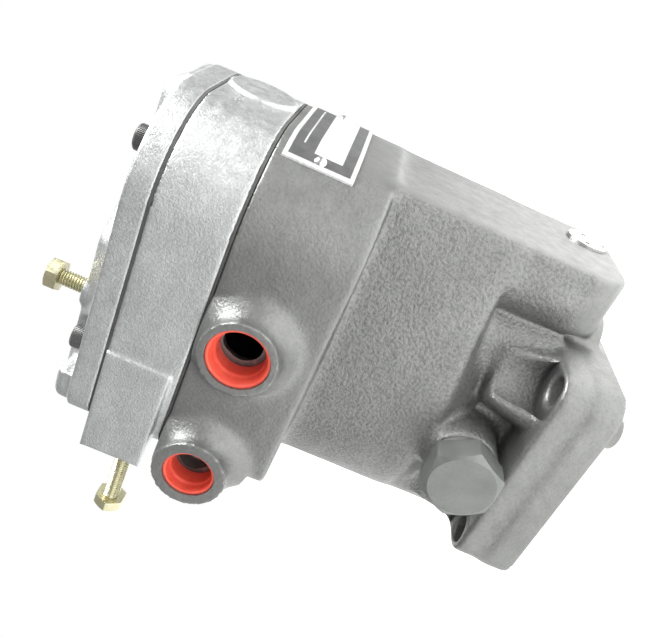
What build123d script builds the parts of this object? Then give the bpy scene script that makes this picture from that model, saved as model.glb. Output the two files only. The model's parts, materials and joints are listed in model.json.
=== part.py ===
from build123d import *
import math
import os

# Hydraulic engine governor.
# The row frame: millimetres, +Z along the drive shaft from the mounting flange towards the cover,
# the origin at the centre of the flange's mounting face. -Y is the side with the two oil ports and
# +X is the side with the nameplate.

# ---- driving dimensions: castings ----------------------------------------------------------------
FLANGE_X, FLANGE_Y, FLANGE_T, FLANGE_R = 86.0, 132.0, 22.0, 9.0
BOLT_X, BOLT_Y, BOLT_R, SPOTFACE_R = 35.0, 57.0, 5.25, 11.0
PILOT_R, PILOT_H = 28.0, 6.0

BODY_R = 59.0                    # rough lower body: a round casting about the drive axis
FLAT_X, FLAT_Y0, FLAT_Y1 = 71.5, -39.0, 18.0   # machined flat down the +X side of the lower body
FLAT_FOOT_Z, FLAT_FOOT_R = 8.0, 16.0
BODY_Z0, STEP_Z, BODY_TOP = 50.0, 98.0, 140.0
NECK_X, NECK_HALF_Y, NECK_R = 48.0, 45.0, 18.0
NECK_REAR_Y = 57.0               # the neck is deeper behind, where the idler gear is

BARREL_X0, BARREL_X1, BARREL_HALF_Y = -54.0, 73.0, 62.0
BARREL_R_FRONT, BARREL_R_REAR, BARREL_R_MINUS = 36.0, 58.0, 12.0
WALL = 8.0

GASKET_T = 1.0
SPACER_Z0, SPACER_Z1 = BODY_TOP + GASKET_T, 168.0
SPACER_BOX_X = -64.0             # boss on the -X side that carries the horizontal stop screw
COVER_Z0 = SPACER_Z1 + GASKET_T
COVER_RIM_Z, COVER_TOP_Z, DOME_SPREAD = 178.0, 187.0, 9.0
END_BLOCK_X, END_BLOCK_Z = -36.0, 184.5   # raised end of the cover on the -X side

# ---- fasteners ----------------------------------------------------------------------------------
COVER_SCREW_SPOTS = [(52.0, -40.0), (-25.0, -51.0), (46.0, 34.0), (-25.0, 51.0)]
COVER_SCREW_R, COVER_SCREW_L = 3.175, 56.0
SOCKET_HEAD_R, SOCKET_HEAD_H, SOCKET_AF = 4.75, 6.35, 4.8
SCREW_HOLE_R = 3.4
POST_R_PLUS, POST_R_MINUS = 9.0, 5.5   # cast posts round the cover screws, +X and -X pairs
HEX_AF, HEX_H = 11.1, 5.0
STOP_SCREW_R = 3.175

# ---- oil ports ----------------------------------------------------------------------------------
PORT_FACE_Y, PORT_RIM_R, PORT_BASE_R = -72.0, 14.2, 21.0
PORTS = {                        # name: (x, z, thread radius, drill radius)
    "inlet": (6.0, 124.0, 11.4, 8.4),
    "outlet": (-48.5, 125.0, 9.9, 7.6),
}
PORT_THREAD_DEPTH = 11.5
SLEEVE_GAP = 0.2                 # a protector's bore is this much larger than the drilled hole

# ---- gear pump and drive ------------------------------------------------------------------------
TEETH, MODULE = 13, 2.0
PITCH_R = TEETH * MODULE / 2
TIP_R, ROOT_R = PITCH_R + 0.9 * MODULE, PITCH_R - 1.2 * MODULE
GEAR_Z0, GEAR_Z1 = 24.0, 34.0
GEAR_SIDE_GAP, POCKET_GAP, BACKLASH = 0.2, 0.4, 0.22
IDLER_Y = 2 * PITCH_R
PLATE_Z1 = 42.0
CAVITY_R = 23.5                  # round ended cavity above the pump gears
SHAFT_R, JOURNAL_R, SHAFT_END_R = 8.0, 8.5, 7.8
SHAFT_SHOULDER_Z = -6.5          # the driven end starts here, a little smaller than the seal's land
SHAFT_Z0, KEYWAY_Z1, KEYWAY_W, KEYWAY_D = -38.0, -16.0, 4.0, 2.4
BEARING_R, BEARING_Z0, BEARING_Z1 = 17.5, 9.0, 19.0
BALL_R, BALL_PITCH_R, BALLS = 2.8, 13.0, 9
RUNNING = 0.05                   # radial clearance of a running fit
IDLER_PIN_R = 4.0

# ---- ballhead and pilot valve -------------------------------------------------------------------
BUSHING_R, BUSHING_Z0, BUSHING_Z1 = 12.0, 34.3, 94.0
PILOT_BORE_R = 5.0
BALLHEAD_R, BALLHEAD_Z0, BALLHEAD_Z1 = 24.0, 92.0, 98.0
PIVOT_X, PIVOT_Z, PIVOT_R = 17.0, 104.0, 1.5
EAR_Y0, EAR_Y1 = 7.5, 10.5
RACE_R, RACE_Z0, RACE_T, THRUST_BALL_R = 9.0, 106.0, 2.0, 1.0
SPRING_SEAT_Z = 115.0
SPEEDER_Z0 = 150.0               # underside of the speeder plug
SPEEDER_SPRING_R = 7.0

# ---- speed setting shaft ------------------------------------------------------------------------
SPEED_X, SPEED_Z, SPEED_R, SPEED_BOSS_R = -40.0, 160.0, 4.5, 7.6
SPEED_Y0, SPEED_Y1 = -57.5, 88.0
STOP_Y, STOP_LOBE_HALF_W, STOP_LOBE_Z = -50.0, 5.0, 148.0
STOP_ARM_Y = -39.0
HIGH_STOP_X, HIGH_STOP_Y, HIGH_STOP_TIP_Z, HIGH_STOP_HEAD_Z = -12.0, -38.5, 167.5, 198.0
LOW_STOP_Z, LOW_STOP_TIP_X, LOW_STOP_HEAD_X = 152.8, -46.4, -95.0

# ---- power cylinder and terminal shaft ----------------------------------------------------------
POWER_X, POWER_R, POWER_Z0, LEDGE_Z = 50.0, 14.0, 40.0, 92.0
PISTON_Z0, PISTON_Z1 = 50.0, 68.0
ROD_R, RETAINER_R, RETAINER_T = 4.0, 17.0, 4.0
TERMINAL_X, TERMINAL_Z, TERMINAL_R = 26.0, 131.0, 5.0
TERMINAL_Y0, TERMINAL_Y1, TERMINAL_BOSS_R = -57.5, 94.0, 8.6
SHAFT_BOSS_Y = 70.0
LAND_Y, LAND_STEP, SERRATION_STEP = 71.0, 0.3, 0.3   # plain land for a lever, then its serrations
LEVER_PIN_R, SLOT_GAP = 2.0, 0.4

# ---- relief valve, buffer and needle valve --------------------------------------------------------
RELIEF_X, RELIEF_Z, RELIEF_R, RELIEF_FACE_Y = -4.0, 37.0, 6.0, -63.0
RELIEF_PLUG_R, RELIEF_PLUG_AF, RELIEF_HEAD_T = 9.0, 25.4, 10.0
BUFFER_X, BUFFER_Z, BUFFER_R, BUFFER_Y0, BUFFER_FACE_Y = -36.0, 60.0, 7.0, -25.0, 56.0
NEEDLE_X, NEEDLE_Z, NEEDLE_R, NEEDLE_FACE_Y = -30.0, 82.0, 4.0, 54.0
PASSAGE_PLUG_Y, PASSAGE_PLUG_Z, PASSAGE_PLUG_R = 0.5, 19.5, 8.0


# ---- small helpers ------------------------------------------------------------------------------
def z_rod(radius, z0, z1, x=0.0, y=0.0):
    return Pos(x, y, (z0 + z1) / 2) * Cylinder(radius, z1 - z0)


def y_rod(radius, y0, y1, x, z):
    return Pos(x, (y0 + y1) / 2, z) * Rot(90, 0, 0) * Cylinder(radius, y1 - y0)


def x_rod(radius, x0, x1, y, z):
    return Pos((x0 + x1) / 2, y, z) * Rot(0, 90, 0) * Cylinder(radius, x1 - x0)


def block(x0, x1, y0, y1, z0, z1):
    return Pos((x0 + x1) / 2, (y0 + y1) / 2, (z0 + z1) / 2) * Box(x1 - x0, y1 - y0, z1 - z0)


def z_ring(outer, inner, z0, z1, x=0.0, y=0.0):
    return z_rod(outer, z0, z1, x, y) - z_rod(inner, z0 - 1, z1 + 1, x, y)


def y_ring(outer, inner, y0, y1, x, z):
    return y_rod(outer, y0, y1, x, z) - y_rod(inner, y0 - 1, y1 + 1, x, z)


def prism(face, z0, z1):
    """Extrude a flat sketch drawn on XY from z0 up to z1."""
    return extrude(Pos(0, 0, z0) * face, amount=z1 - z0)


def hexagon(across_flats):
    return RegularPolygon(across_flats / math.sqrt(3), 6)


def on_minus_y(part, x, y, z):
    """Stand a part that was drawn along +Z so that it points along -Y from (x, y, z)."""
    return Pos(x, y, z) * Rot(90, 0, 0) * part


def on_plus_y(part, x, y, z):
    return Pos(x, y, z) * Rot(-90, 0, 0) * part


def coil_spring(radius, wire_r, length, turns):
    """A round wire coil from z = 0 to z = length."""
    path = Helix(pitch=(length - 2 * wire_r) / turns, height=length - 2 * wire_r, radius=radius)
    section = Plane(origin=path @ 0, z_dir=path % 0) * Circle(wire_r)
    return Pos(0, 0, wire_r) * sweep(section, path=path, is_frenet=True)


def casting_outline(inset=0.0):
    """The barrel's plan shape, shared by housing top, gaskets, spacer and cover."""
    width = BARREL_X1 - BARREL_X0 - 2 * inset
    depth = 2 * (BARREL_HALF_Y - inset)
    outline = Pos((BARREL_X0 + BARREL_X1) / 2, 0) * Rectangle(width, depth)
    outline = fillet(outline.vertices().group_by(Axis.X)[0], max(BARREL_R_MINUS - inset, 2.0))
    front_corner = outline.vertices().group_by(Axis.X)[-1].sort_by(Axis.Y)[0]
    outline = fillet(front_corner, BARREL_R_FRONT - inset)
    rear_corner = outline.vertices().group_by(Axis.X)[-1].sort_by(Axis.Y)[-1]
    return fillet(rear_corner, BARREL_R_REAR - inset)


def cover_screw_rods(radius, z0, z1):
    return [z_rod(radius, z0, z1, x, y) for x, y in COVER_SCREW_SPOTS]


def cover_screw_posts(z0, z1, extra=0.0):
    posts = Part()
    for x, y in COVER_SCREW_SPOTS:
        radius = POST_R_PLUS if x > 0 else POST_R_MINUS
        posts += z_rod(radius + extra, z0, z1, x, y)
    return posts


def stadium(radius):
    """Round ended plan shape that covers both pump gears."""
    return Pos(0, IDLER_Y / 2) * Rot(0, 0, 90) * SlotCenterToCenter(IDLER_Y, 2 * radius)


# ---- housing ------------------------------------------------------------------------------------
def flange():
    plate = RectangleRounded(FLANGE_X, FLANGE_Y, FLANGE_R)
    lower = prism(offset(plate, 0.8), 0, 10)
    lobe = z_rod(11.5, 4, FLANGE_T, 42.0, -18.0) + z_rod(11.5, 4, FLANGE_T, 42.0, 18.0)
    return lower + prism(plate, 0, FLANGE_T) + lobe + z_rod(PILOT_R, -PILOT_H, 0.5)


def bolt_humps():
    """Cast metal around each flange bolt that the spot faces are cut into."""
    humps = Part()
    for sx in (-1, 1):
        for sy in (-1, 1):
            humps += Pos(sx * (BOLT_X - 8), sy * (BOLT_Y - 10), 30) * Cone(15, 11, 20)
    return humps


def neck():
    column = prism(RectangleRounded(2 * NECK_X, 2 * NECK_HALF_Y, NECK_R), FLANGE_T - 2, BODY_Z0 + 12)
    back = RectangleRounded(2 * CAVITY_R + 18, 2 * NECK_REAR_Y, 12)
    column += prism(back, FLANGE_T - 2, BODY_Z0 + 8) & block(-NECK_X, NECK_X, 0, 90, 0, STEP_Z)
    for y in (FLAT_Y0 + 10, FLAT_Y1 - 8):
        column += z_rod(12.5, 30, BODY_Z0 + 8, 57.5, y)
        column += Pos(57.5, y, 30) * Sphere(12.5)
    return column


def flat_web():
    """The +X wall: a machined flat with a rounded lower end that runs down past the flange top."""
    wall = Rectangle(FLAT_Y1 - FLAT_Y0 - 1, STEP_Z - FLAT_FOOT_Z)
    wall = fillet(wall.vertices().group_by(Axis.Y)[0], FLAT_FOOT_R)
    middle = (FLAT_X - 24, (FLAT_Y0 + FLAT_Y1) / 2, (STEP_Z + FLAT_FOOT_Z) / 2)
    inner_face = Plane(origin=middle, x_dir=(0, 1, 0), z_dir=(1, 0, 0))
    return extrude(inner_face * wall, amount=24)


def body_tangent(y):
    """Where a face that leaves the flat's edge at y meets the round body tangentially."""
    turn = math.copysign(math.acos(BODY_R / math.hypot(FLAT_X, y)), y) + math.atan2(y, FLAT_X)
    return BODY_R * math.cos(turn), BODY_R * math.sin(turn)


def lower_body():
    corners = [(FLAT_X, FLAT_Y0), (FLAT_X, FLAT_Y1), body_tangent(FLAT_Y1), body_tangent(FLAT_Y0)]
    section = Circle(BODY_R) + Polygon(*corners, align=None)
    taper = Pos(0, 0, BODY_Z0 - 4) * Cone(NECK_HALF_Y + 4, BODY_R, 12)
    return prism(section, BODY_Z0, STEP_Z + 1) + taper


def barrel():
    return prism(casting_outline(), STEP_Z, BODY_TOP)


def port_boss(x, z):
    rim = y_rod(PORT_RIM_R, PORT_FACE_Y, -48, x, z)
    depth = -BARREL_HALF_Y - PORT_FACE_Y - 3
    root = Pos(x, -BARREL_HALF_Y - depth / 2 + 0.5, z) * Rot(90, 0, 0)
    root = root * Cone(PORT_BASE_R, PORT_RIM_R, depth)
    return rim + (root & block(BARREL_X0, BARREL_X1, PORT_FACE_Y, 0, STEP_Z, BODY_TOP))


def outer_bosses():
    bosses = y_rod(TERMINAL_BOSS_R, 52, SHAFT_BOSS_Y, TERMINAL_X, TERMINAL_Z)
    bosses += y_rod(13.5, RELIEF_FACE_Y, -30, RELIEF_X, RELIEF_Z)
    bosses += y_rod(12, 36, BUFFER_FACE_Y, BUFFER_X, BUFFER_Z)
    bosses += y_rod(9, 36, NEEDLE_FACE_Y, NEEDLE_X, NEEDLE_Z)
    return bosses


def housing_cavities():
    """Everything machined or cored out from the open top."""
    core = prism(casting_outline(WALL), STEP_Z + WALL, BODY_TOP + 1)
    core -= cover_screw_posts(STEP_Z, BODY_TOP + 2)
    core += z_rod(34, LEDGE_Z - 2, STEP_Z + WALL + 1)
    core += prism(stadium(CAVITY_R), GEAR_Z1, LEDGE_Z)
    for y in (0.0, IDLER_Y):
        core += z_rod(TIP_R + POCKET_GAP, GEAR_Z0, GEAR_Z1 + 1, 0, y)
    core += z_rod(POWER_R, POWER_Z0, LEDGE_Z + 1, POWER_X)
    core += z_rod(RETAINER_R, LEDGE_Z, STEP_Z + WALL + 1, POWER_X)
    return core


def drive_bore():
    bore = z_rod(BEARING_R, -PILOT_H - 1, BEARING_Z1)
    bore += z_rod(BEARING_R + 1.2, BEARING_Z0 - 1.4, BEARING_Z0 - 0.1)
    bore += z_rod(BEARING_R - 4.5, BEARING_Z1 - 1, GEAR_Z0 + 1)
    return bore + z_rod(IDLER_PIN_R, GEAR_Z0 - 8, GEAR_Z0 + 1, 0, IDLER_Y)


def port_bores():
    bores = Part()
    for x, z, thread_r, drill_r in PORTS.values():
        floor_y = PORT_FACE_Y + PORT_THREAD_DEPTH
        bores += y_rod(thread_r, PORT_FACE_Y - 1, floor_y, x, z)
        bores += y_rod(drill_r, floor_y - 1, floor_y + 7.0, x, z)
    inlet_x, inlet_z = PORTS["inlet"][:2]
    bores += y_rod(PORTS["inlet"][3], -56, -50, inlet_x, inlet_z)
    bores += y_rod(3, -56, -50, PORTS["outlet"][0] + 5.5, PORTS["outlet"][1])
    return bores


def valve_bores():
    bores = y_rod(RELIEF_PLUG_R, RELIEF_FACE_Y - 1, -50, RELIEF_X, RELIEF_Z)
    bores += y_rod(RELIEF_R, -51, -27, RELIEF_X, RELIEF_Z)
    bores += y_rod(BUFFER_R, BUFFER_Y0, BUFFER_FACE_Y + 1, BUFFER_X, BUFFER_Z)
    bores += y_rod(NEEDLE_R, 25, NEEDLE_FACE_Y + 1, NEEDLE_X, NEEDLE_Z)
    bores += z_rod(1.5, BUFFER_Z, NEEDLE_Z, (BUFFER_X + NEEDLE_X) / 2, 28)
    bores += x_rod(PASSAGE_PLUG_R, FLAT_X - 1.5, FLAT_X + 1, PASSAGE_PLUG_Y, PASSAGE_PLUG_Z)
    bores += x_rod(6.5, FLAT_X - 12, FLAT_X, PASSAGE_PLUG_Y, PASSAGE_PLUG_Z)
    return bores


def flange_holes():
    holes = Part()
    for sx in (-1, 1):
        for sy in (-1, 1):
            holes += z_rod(BOLT_R, -1, FLANGE_T + 1, sx * BOLT_X, sy * BOLT_Y)
            holes += z_rod(SPOTFACE_R, FLANGE_T, BODY_Z0 - 2, sx * BOLT_X, sy * BOLT_Y)
    return holes


def dowel_rods(z0, z1):
    return [z_rod(2.5, z0, z1, BARREL_X1 - WALL / 2, y) for y in (-22.0, 4.0)]


def pump_plate_screw_rods(radius, z0, z1):
    reach = TIP_R + POCKET_GAP + 4.0
    spots = [(reach, IDLER_Y / 2), (-reach, IDLER_Y / 2), (0, -reach), (0, IDLER_Y + reach)]
    return [z_rod(radius, z0, z1, x, y) for x, y in spots]


def make_housing():
    body = flange() + bolt_humps() + neck() + flat_web() + lower_body() + barrel() + outer_bosses()
    for x, z, _, _ in PORTS.values():
        body += port_boss(x, z)
    body -= flange_holes()
    body -= housing_cavities()
    body -= drive_bore()
    body -= port_bores()
    body -= valve_bores()
    body -= Part() + cover_screw_rods(COVER_SCREW_R, COVER_RIM_Z - COVER_SCREW_L, BODY_TOP + 1)
    body -= Part() + dowel_rods(BODY_TOP - 6, BODY_TOP + 1)
    body -= Part() + pump_plate_screw_rods(1.75, GEAR_Z0 + 2, GEAR_Z1 + 1)
    body -= y_rod(TERMINAL_R + RUNNING, TERMINAL_Y0 - 0.5, SHAFT_BOSS_Y + 1, TERMINAL_X, TERMINAL_Z)
    body -= y_rod(TERMINAL_R + 2, SHAFT_BOSS_Y - 3, SHAFT_BOSS_Y + 1, TERMINAL_X, TERMINAL_Z)
    return body


# ---- spacer, cover and gaskets ------------------------------------------------------------------
def make_spacer():
    box_z0 = SPACER_Z0 + 3
    body = prism(casting_outline(), SPACER_Z0, SPACER_Z1)
    side = block(SPACER_BOX_X, BARREL_X0 + 14, -BARREL_HALF_Y, 30, box_z0, SPACER_Z1)
    body += fillet(side.edges().filter_by(Axis.Z), 3)
    body += block(SPACER_BOX_X + 1, -18, -BARREL_HALF_Y - 1.2, -54, box_z0, SPACER_Z1)
    body += x_rod(13.0, BARREL_X1 - 12, BARREL_X1 + 1.6, -4, (SPACER_Z0 + SPACER_Z1) / 2)
    body += y_rod(SPEED_BOSS_R, 50, SHAFT_BOSS_Y, SPEED_X, SPEED_Z)
    cavity = prism(casting_outline(WALL), SPACER_Z0 - 1, SPACER_Z1 + 1)
    cavity += block(BARREL_X0 + 4, -40, -54, 54, SPACER_Z0 + 3, SPACER_Z1 + 1)
    body -= cavity - cover_screw_posts(SPACER_Z0 - 2, SPACER_Z1 + 2)
    body -= Part() + cover_screw_rods(SCREW_HOLE_R, SPACER_Z0 - 1, SPACER_Z1 + 1)
    body -= Part() + dowel_rods(SPACER_Z0 - 1, SPACER_Z0 + 7)
    body -= y_rod(SPEED_R + RUNNING, SPEED_Y0 - 0.5, SHAFT_BOSS_Y + 1, SPEED_X, SPEED_Z)
    body -= y_rod(SPEED_R + 1.5, SHAFT_BOSS_Y - 3, SHAFT_BOSS_Y + 1, SPEED_X, SPEED_Z)
    body -= x_rod(STOP_SCREW_R + RUNNING, SPACER_BOX_X - 1, BARREL_X0 + 9, STOP_Y, LOW_STOP_Z)
    return body


def dome_top():
    """Flat top of the cover: set in around the +X screws, with a nose that reaches the +X edge."""
    half = [(66, 17), (38, 19), (12, 43), (-47, 43)]
    points = half + [(x, -y) for x, y in reversed(half)]
    return fillet(Polygon(*points, align=None).vertices(), 4)


def make_cover():
    height = COVER_TOP_Z - COVER_RIM_Z + 1
    slope = math.degrees(math.atan(DOME_SPREAD / height))
    dome = extrude(Pos(0, 0, COVER_TOP_Z) * dome_top(), amount=-height, taper=-slope)
    dome &= prism(casting_outline(1), COVER_RIM_Z - 2, COVER_TOP_Z + 1)
    dome -= Part() + cover_screw_rods(SOCKET_HEAD_R + 3.0, COVER_RIM_Z, COVER_TOP_Z + 1)
    end_block = block(BARREL_X0 + 1.5, END_BLOCK_X, -60, 60, COVER_RIM_Z - 1, END_BLOCK_Z)
    end_block = fillet(end_block.edges().filter_by(Axis.Z).group_by(Axis.X)[0], 10)
    end_block = fillet(end_block.faces().sort_by(Axis.Z)[-1].edges(), 3)
    body = prism(casting_outline(), COVER_Z0, COVER_RIM_Z) + dome + end_block
    body += z_rod(7, COVER_RIM_Z - 1, COVER_TOP_Z + 0.8, HIGH_STOP_X, HIGH_STOP_Y)
    cavity = prism(casting_outline(13), COVER_Z0 - 1, COVER_RIM_Z - 2)
    cavity -= cover_screw_posts(COVER_Z0 - 2, COVER_TOP_Z, 5)
    body -= cavity + prism(offset(dome_top(), -2), COVER_RIM_Z - 3, COVER_TOP_Z - 4)
    body -= Part() + cover_screw_rods(SCREW_HOLE_R, COVER_Z0 - 1, COVER_TOP_Z)
    return body - z_rod(STOP_SCREW_R + RUNNING, COVER_Z0, COVER_TOP_Z + 2, HIGH_STOP_X, HIGH_STOP_Y)


def make_gasket(z0):
    sheet = prism(casting_outline(), z0, z0 + GASKET_T)
    opening = prism(casting_outline(WALL), z0 - 1, z0 + 2)
    opening -= cover_screw_posts(z0 - 2, z0 + 3)
    sheet -= opening
    sheet -= Part() + cover_screw_rods(SCREW_HOLE_R, z0 - 1, z0 + 2)
    return sheet


def make_body_gasket():
    return make_gasket(BODY_TOP) - (Part() + dowel_rods(BODY_TOP - 1, SPACER_Z0 + 1))


# ---- fasteners ----------------------------------------------------------------------------------
def socket_screw(length):
    """Head from z = 0 up, shank from z = 0 down."""
    head = z_rod(SOCKET_HEAD_R, 0, SOCKET_HEAD_H)
    head = chamfer(head.faces().sort_by(Axis.Z)[-1].edges(), 0.5)
    head -= prism(hexagon(SOCKET_AF), SOCKET_HEAD_H - 3.2, SOCKET_HEAD_H + 1)
    return head + z_rod(COVER_SCREW_R, -length, 0.1)


def hex_screw(length, radius=STOP_SCREW_R, across_flats=HEX_AF, height=HEX_H):
    """Hexagon head from z = 0 up with chamfered corners, shank from z = 0 down."""
    head = prism(hexagon(across_flats), 0, height)
    corner_r = across_flats / math.sqrt(3)
    dome = Cone(corner_r + height * 2.0, corner_r - 0.9, height * 2.0 + 0.9)
    head &= Pos(0, 0, height - (height * 2.0 + 0.9) / 2) * dome
    shank = z_rod(radius, -length, 0.1)
    return head + chamfer(shank.faces().sort_by(Axis.Z)[0].edges(), 0.6)


def make_cover_screws():
    screws = [Pos(x, y, COVER_RIM_Z) * socket_screw(COVER_SCREW_L) for x, y in COVER_SCREW_SPOTS]
    return Compound(children=screws)


def make_high_speed_screw():
    length = HIGH_STOP_HEAD_Z - HIGH_STOP_TIP_Z
    return Pos(HIGH_STOP_X, HIGH_STOP_Y, HIGH_STOP_HEAD_Z) * hex_screw(length)


def make_low_speed_screw():
    length = LOW_STOP_TIP_X - LOW_STOP_HEAD_X
    return Pos(LOW_STOP_HEAD_X, STOP_Y, LOW_STOP_Z) * Rot(0, -90, 0) * hex_screw(length)


def make_pump_plate_screws():
    shanks = pump_plate_screw_rods(1.75, GEAR_Z0 + 2, PLATE_Z1)
    heads = pump_plate_screw_rods(3.0, PLATE_Z1, PLATE_Z1 + 3.5)
    return Compound(children=[shank + head for shank, head in zip(shanks, heads)])


# ---- nameplate ----------------------------------------------------------------------------------
PLATE_Y0, PLATE_Y1, PLATE_ZLO, PLATE_ZHI, PLATE_SHEET_T = -45.0, 20.0, 112.0, 137.0, 0.6
RIVET_INSET, RIVET_R = 3.5, 2.4


def make_nameplate():
    """Sheet metal wrapped around the barrel's +X, -Y corner."""
    shell = offset(casting_outline(), PLATE_SHEET_T) - casting_outline()
    strip = prism(shell, PLATE_ZLO, PLATE_ZHI)
    return strip & block(40, BARREL_X1 + 5, PLATE_Y0, PLATE_Y1, PLATE_ZLO, PLATE_ZHI)


def barrel_normal_frame(y, z):
    """On the barrel's +X face at y, pointing away from the barrel."""
    front_y, rear_y = BARREL_R_FRONT - BARREL_HALF_Y, BARREL_HALF_Y - BARREL_R_REAR
    corner_r, past = (BARREL_R_FRONT, y - front_y) if y < front_y else (BARREL_R_REAR, max(0, y - rear_y))
    turn = math.asin(past / corner_r)
    x = BARREL_X1 - corner_r * (1 - math.cos(turn))
    return Pos(x, y, z) * Rot(0, 0, math.degrees(turn)) * Rot(0, 90, 0)


def make_nameplate_rivets():
    """One round head drive screw in the middle of each end."""
    rivets = []
    for y in (PLATE_Y0 + RIVET_INSET, PLATE_Y1 - RIVET_INSET):
        ball = Pos(0, 0, -0.4 * RIVET_R) * Sphere(RIVET_R)
        head = Pos(0, 0, PLATE_SHEET_T) * (ball & block(-3, 3, -3, 3, 0, 3))
        rivets.append(barrel_normal_frame(y, (PLATE_ZLO + PLATE_ZHI) / 2) * head)
    return Compound(children=rivets)


# ---- plugs, port protectors and valves ------------------------------------------------------------
def make_relief_plug():
    head_y = RELIEF_FACE_Y - 2.0
    plug = hex_screw(head_y * -1 - 50, RELIEF_PLUG_R, RELIEF_PLUG_AF, RELIEF_HEAD_T)
    return on_minus_y(plug, RELIEF_X, head_y, RELIEF_Z)


def make_relief_washer():
    return y_ring(12.6, RELIEF_PLUG_R, RELIEF_FACE_Y - 2.0, RELIEF_FACE_Y, RELIEF_X, RELIEF_Z)


def make_relief_valve():
    spool = y_rod(RELIEF_R - RUNNING, -38, -27.3, RELIEF_X, RELIEF_Z)
    return spool - y_rod(3.5, -39, -31, RELIEF_X, RELIEF_Z)


def make_relief_spring():
    return on_minus_y(coil_spring(4.6, 0.6, 12, 5), RELIEF_X, -38, RELIEF_Z)


def make_passage_plug():
    plug = x_rod(PASSAGE_PLUG_R, FLAT_X - 1.5, FLAT_X + 0.8, PASSAGE_PLUG_Y, PASSAGE_PLUG_Z)
    plug += x_rod(6.5, FLAT_X - 10, FLAT_X, PASSAGE_PLUG_Y, PASSAGE_PLUG_Z)
    for dy in (-4.5, 4.5):
        plug -= x_rod(1.1, FLAT_X - 2, FLAT_X + 2, PASSAGE_PLUG_Y + dy, PASSAGE_PLUG_Z + 1)
    notch_z, notch_y = PASSAGE_PLUG_Z - PASSAGE_PLUG_R, PASSAGE_PLUG_Y
    return plug - block(FLAT_X - 0.5, FLAT_X + 2, notch_y - 2, notch_y + 2, notch_z - 1, notch_z + 2)


def make_port_sleeve(port):
    """Moulded thread protector, open through its centre."""
    x, z, thread_r, drill_r = PORTS[port]
    floor_y = PORT_FACE_Y + PORT_THREAD_DEPTH
    inner = drill_r + SLEEVE_GAP
    sleeve = y_ring(thread_r - 0.02, inner, PORT_FACE_Y + 0.8, floor_y - 0.3, x, z)
    mouth = Pos(x, PORT_FACE_Y + 0.8 + 1.5, z) * Rot(90, 0, 0) * Cone(inner, thread_r - 0.8, 3.0)
    return sleeve - mouth


def make_shaft_seal_ring(shaft_r, land, y, x, z):
    return y_ring(shaft_r + land, shaft_r + RUNNING, y - 3, y - 0.3, x, z)


# ---- gear pump ----------------------------------------------------------------------------------
def gear_face():
    """Involute teeth, one of them centred on +Y."""
    pressure = math.radians(20)
    base_r = PITCH_R * math.cos(pressure)
    half_tooth = (math.pi * MODULE / 2 - BACKLASH) / (2 * PITCH_R)
    involute_at_pitch = math.tan(pressure) - pressure
    flank = []
    for step in range(6):
        radius = base_r + (TIP_R - base_r) * step / 5
        roll = math.acos(min(1.0, base_r / radius))
        flank.append((radius, half_tooth + involute_at_pitch - (math.tan(roll) - roll)))
    flank.insert(0, (ROOT_R, flank[0][1]))
    points = []
    for tooth in range(TEETH):
        middle = math.pi / 2 + 2 * math.pi * tooth / TEETH
        for radius, half in flank:
            points.append((radius * math.cos(middle - half), radius * math.sin(middle - half)))
        for radius, half in reversed(flank):
            points.append((radius * math.cos(middle + half), radius * math.sin(middle + half)))
    return Polygon(*points, align=None)


def make_gear(bore_r, y):
    blank = prism(gear_face(), GEAR_Z0 + GEAR_SIDE_GAP, GEAR_Z1 - GEAR_SIDE_GAP)
    return Pos(0, y, 0) * (blank - z_rod(bore_r, GEAR_Z0 - 1, GEAR_Z1 + 1))


def make_idler_pin():
    return z_rod(IDLER_PIN_R, GEAR_Z0 - 8, GEAR_Z1 - 0.1, 0, IDLER_Y)


def make_pump_plate():
    plate = prism(stadium(CAVITY_R), GEAR_Z1, PLATE_Z1)
    plate -= z_rod(BUSHING_R + RUNNING, GEAR_Z1 - 1, PLATE_Z1 + 1)
    for x in (-14.0, 14.0):
        plate -= z_rod(2.5, GEAR_Z1 - 1, PLATE_Z1 + 1, x, IDLER_Y / 2)
    return plate - (Part() + pump_plate_screw_rods(1.75, GEAR_Z1 - 1, PLATE_Z1 + 1))


# ---- drive shaft and its bearing ------------------------------------------------------------------
def make_drive_shaft():
    """Keyed at the driven end, a journal at the bearing and a spigot in the rotating bushing."""
    end = z_rod(SHAFT_END_R, SHAFT_Z0, SHAFT_SHOULDER_Z)
    end = chamfer(end.faces().sort_by(Axis.Z)[0].edges(), 0.8)
    half_w = KEYWAY_W / 2
    end -= block(SHAFT_R - KEYWAY_D, SHAFT_R + 1, -half_w, half_w, SHAFT_Z0 - 1, KEYWAY_Z1)
    end += z_rod(SHAFT_R, SHAFT_SHOULDER_Z, BEARING_Z0)
    return end + z_rod(JOURNAL_R, BEARING_Z0, GEAR_Z1) + z_rod(6, GEAR_Z1, 44)


def make_shaft_seal():
    return z_ring(BEARING_R, SHAFT_R + RUNNING, -4, 3)


def make_bearing_circlip():
    ring = z_ring(BEARING_R + 1.2, BEARING_R - 2, BEARING_Z0 - 1.4, BEARING_Z0 - 0.1)
    return ring - block(-3, 3, BEARING_R - 4, BEARING_R + 4, BEARING_Z0 - 3, BEARING_Z0 + 1)


def ball_groove(extra):
    return Pos(0, 0, (BEARING_Z0 + BEARING_Z1) / 2) * Torus(BALL_PITCH_R, BALL_R + extra)


def make_bearing_outer_race():
    return z_ring(BEARING_R, BALL_PITCH_R + 1.6, BEARING_Z0, BEARING_Z1) - ball_groove(RUNNING)


def make_bearing_inner_race():
    return z_ring(BALL_PITCH_R - 1.6, JOURNAL_R, BEARING_Z0, BEARING_Z1) - ball_groove(0.0)


def ball_ring(ball_r, pitch_r, count, z):
    balls = [Rot(0, 0, 360 * k / count) * Pos(pitch_r, 0, z) * Sphere(ball_r) for k in range(count)]
    return Compound(children=balls)


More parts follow.
